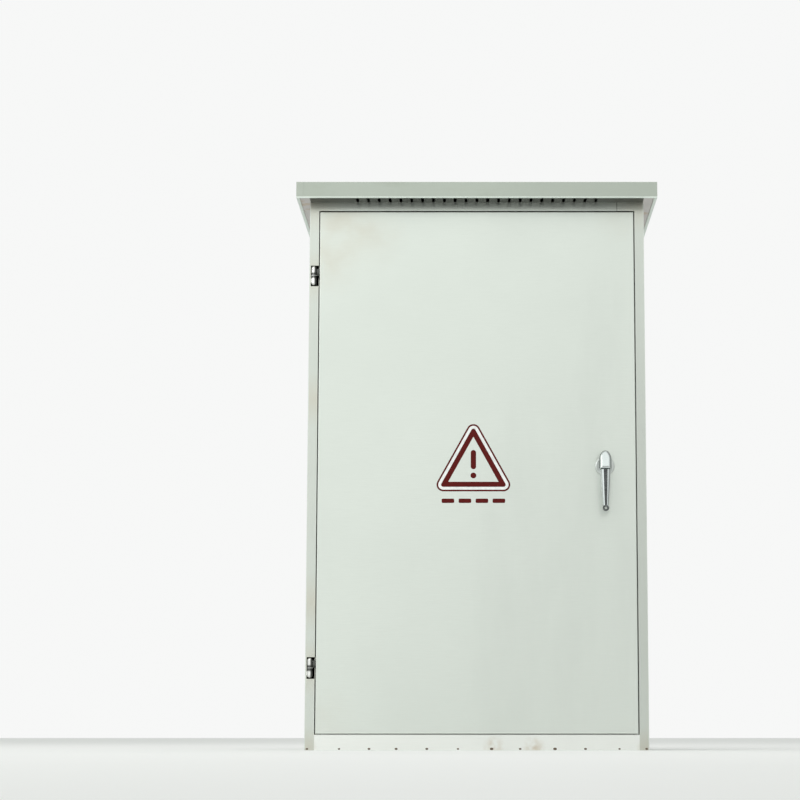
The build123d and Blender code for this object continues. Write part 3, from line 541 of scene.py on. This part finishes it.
# The boxes follow the order of the cases' names, so the first six spots are those of branch breaker 1, and
# terminal_screws_main sits there. The main breaker's own screws are the last six of terminal_screws_branch.
terminals = list(terminal_spots())
SCREWS = (
    ("terminal_screws_main", terminals[:6], pan_screws, INTO_ROOM, 6.5 * MM, "cabinet"),
    ("terminal_screws_branch", terminals[6:], pan_screws, INTO_ROOM, 5.0 * MM, "cabinet"),
    ("breaker_cover_screws", list(cover_spots()), pan_screws, INTO_ROOM, 2.6 * MM, "cabinet"),
    ("busbar_bolts", list(busbar_spots()), hex_bolts, INTO_ROOM, 6.0 * MM, "cabinet"),
    ("terminal_bar_screws", list(bar_spots()), pan_screws, INTO_ROOM, 3.1 * MM, "cabinet"),
    ("latch_case_screws", list(latch_spots()), pan_screws, INTO_CABINET, 3.6 * MM, "door"),
)
for name, spots, style, direction, radius, body in SCREWS:
    piece(name, style(spots, direction, radius), "bright", body)


RING_SPRING = 0.535         # share of the cover's height where its round top begins
RING_BACK = 6.5 * MM        # from the cover's back to the dark ring's front edge
RING_STEPS = 24


def cover_shadow_ring(bm):
    """Dark ring round the key cover, a painted shadow along its outline, clear of the lever's lug when the
    cover is up.
    """
    low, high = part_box("key_cover")
    middle_x, half = (low.x + high.x) / 2, (high.x - low.x) / 2
    spring = low.z + RING_SPRING * (high.z - low.z)
    back = high.y - RING_BACK
    section = ((0.8, 0.0), (1.1, 0.3), (1.1, 0.7), (0.8, 1.0), (-0.3, 1.0), (-0.3, 0.0))
    loops = []
    for step in range(-1, RING_STEPS + 2):
        angle = math.pi * min(max(step, 0), RING_STEPS) / RING_STEPS
        loop = []
        for grow, deep in section:
            x = middle_x + math.cos(angle) * (half + grow * MM)
            z = spring + math.sin(angle) * (high.z - spring + grow * MM)
            if not 0 <= step <= RING_STEPS:
                z = low.z + 2 * MM
            loop.append(bm.verts.new((x, back + deep * MM, z)))
        loops.append(loop)
    for one, two in zip(loops, loops[1:]):
        for corner in range(len(section)):
            after = (corner + 1) % len(section)
            bm.faces.new((one[corner], one[after], two[after], two[corner]))
    bm.faces.new(loops[0][::-1])
    bm.faces.new(loops[-1])
    bmesh.ops.recalc_face_normals(bm, faces=bm.faces)


# painted shadow: a dark ring round the key cover's outline
piece("cover_shadow_ring", cover_shadow_ring, "rubber", "key_cover")


SPOT_COUNT = 10


def spot_welds(bm):
    """Shallow pressed marks of the spot welds down both stiffeners."""
    for name in ("door_stiffener_left", "door_stiffener_right"):
        low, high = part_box(name)
        for index in range(SPOT_COUNT):
            z = low.z + (high.z - low.z) * (index + 0.5) / SPOT_COUNT
            spot = Vector(((low.x + high.x) / 2, high.y, z))
            loft(bm, outward(spot, INTO_CABINET), (
                (3.6 * MM, -0.02 * MM, 0),
                (3.2 * MM, 0.16 * MM, 0),
                (2.4 * MM, 0.05 * MM, 0),
                (1.0 * MM, 0.02 * MM, 0),
            ))


piece("spot_welds", spot_welds, "zinc", "door")


# ---------------------------------------------------------------- stage, light, camera
FRONT_VIEW = Vector((0.0, FRONT_Y, 0.0))
CAMERA_DISTANCE = 4.5
CAMERA_HEIGHT = 0.03
PICTURE_WIDTH = 1.64        # metres across the picture, in the plane of the door
BODY_ACROSS = 0.596         # middle of the body, as a share of the picture from its left
FOOT_DOWN = 0.9375          # foot of the body, as a share of the picture from its top
SHIFT = 0.03
FLAG_ACROSS = 0.08          # middle of the dark flag, across the view's direction


def stage_plane(name, size, location, rotation, colour):
    bpy.ops.mesh.primitive_plane_add(size=size, location=location, rotation=rotation)
    plane = bpy.context.object
    plane.name = name
    s = Shader(name, colour, roughness=0.9)
    s.tint(darker(colour, 0.985), s.noise(1.5))
    plane.data.materials.append(s.material)


def soft_light(name, location, target, size, power):
    data = bpy.data.lights.new(name, "AREA")
    data.shape = "RECTANGLE"
    data.size, data.size_y = size
    data.energy = power
    light = bpy.data.objects.new(name, data)
    light.location = location
    light.rotation_euler = (Vector(target) - Vector(location)).to_track_quat("-Z", "Y").to_euler()
    bpy.context.scene.collection.objects.link(light)


def world_light(seen, front, back, side):
    """Pale studio: an even backdrop for the camera, and for surfaces a bright front with a narrow flag."""
    world = bpy.data.worlds.new("studio")
    bpy.context.scene.world = world
    world.use_nodes = True
    tree = world.node_tree
    new, link = tree.nodes.new, tree.links.new
    split = new("ShaderNodeSeparateXYZ")
    link(new("ShaderNodeTexCoord").outputs["Generated"], split.inputs[0])

    def math_node(operation, first, second):
        node = new("ShaderNodeMath")
        node.operation = operation
        link(first, node.inputs[0])
        if isinstance(second, float):
            node.inputs[1].default_value = second
        else:
            link(second, node.inputs[1])
        return node.outputs[0]

    def ramp(value, start, end, low, high):
        node = new("ShaderNodeMapRange")
        node.interpolation_type = "SMOOTHSTEP"
        link(value, node.inputs["Value"])
        set_range(node, start, end, low, high)
        return node.outputs[0]

    across, along, up = split.outputs["X"], split.outputs["Y"], split.outputs["Z"]
    forward = ramp(along, 0.25, -0.85, back, front)
    sideways = ramp(across, -0.1, 0.9, 1.0, side)
    flag = math_node("ABSOLUTE", math_node("SUBTRACT", across, FLAG_ACROSS), 0.0)
    flag = math_node("MAXIMUM", ramp(flag, 0.045, 0.10, 0.08, 1.0), ramp(along, -0.6, 0.0, 0.0, 1.0))
    flag = math_node("MAXIMUM", flag, ramp(up, 0.16, 0.24, 0.0, 1.0))
    lit = tree.nodes["Background"]
    lit.inputs["Color"].default_value = (0.97, 1.0, 0.975, 1.0)
    link(math_node("MULTIPLY", math_node("MULTIPLY", forward, sideways), flag), lit.inputs["Strength"])
    backdrop = new("ShaderNodeBackground")
    backdrop.inputs["Color"].default_value = (*seen, 1.0)
    mix = new("ShaderNodeMixShader")
    link(new("ShaderNodeLightPath").outputs["Is Camera Ray"], mix.inputs["Fac"])
    link(lit.outputs[0], mix.inputs[1])
    link(backdrop.outputs[0], mix.inputs[2])
    link(mix.outputs[0], tree.nodes["World Output"].inputs["Surface"])


def camera():
    """Low front view: the framing comes from where the body's middle and foot sit in the picture."""
    focal = CAMERA_DISTANCE / PICTURE_WIDTH
    data = bpy.data.cameras.new("camera")
    data.sensor_width = 36.0
    data.lens = focal * data.sensor_width
    data.shift_x = 0.5 - BODY_ACROSS
    data.shift_y = SHIFT
    horizon_down = FOOT_DOWN - CAMERA_HEIGHT / PICTURE_WIDTH
    pitch = math.atan((horizon_down - 0.5 - SHIFT) / focal)
    made = bpy.data.objects.new("camera", data)
    made.location = FRONT_VIEW + Vector((0.0, -CAMERA_DISTANCE, CAMERA_HEIGHT))
    made.rotation_euler = (math.pi / 2 + pitch, 0.0, 0.0)
    bpy.context.scene.collection.objects.link(made)
    bpy.context.scene.camera = made


stage_plane("floor", 40.0, (0, 0, 0), (0, 0, 0), (0.92, 0.92, 0.91))
world_light((0.93, 0.935, 0.93), front=1.40, back=0.58, side=0.58)
soft_light("key", (-3.4, -3.6, 2.3), (0, 0, 0.6), (1.5, 2.0), 34)
soft_light("top", (0.0, 0.4, 3.6), (0, 0, 0.8), (3.0, 2.6), 30)
camera()
bpy.context.scene.view_settings.view_transform = "Standard"
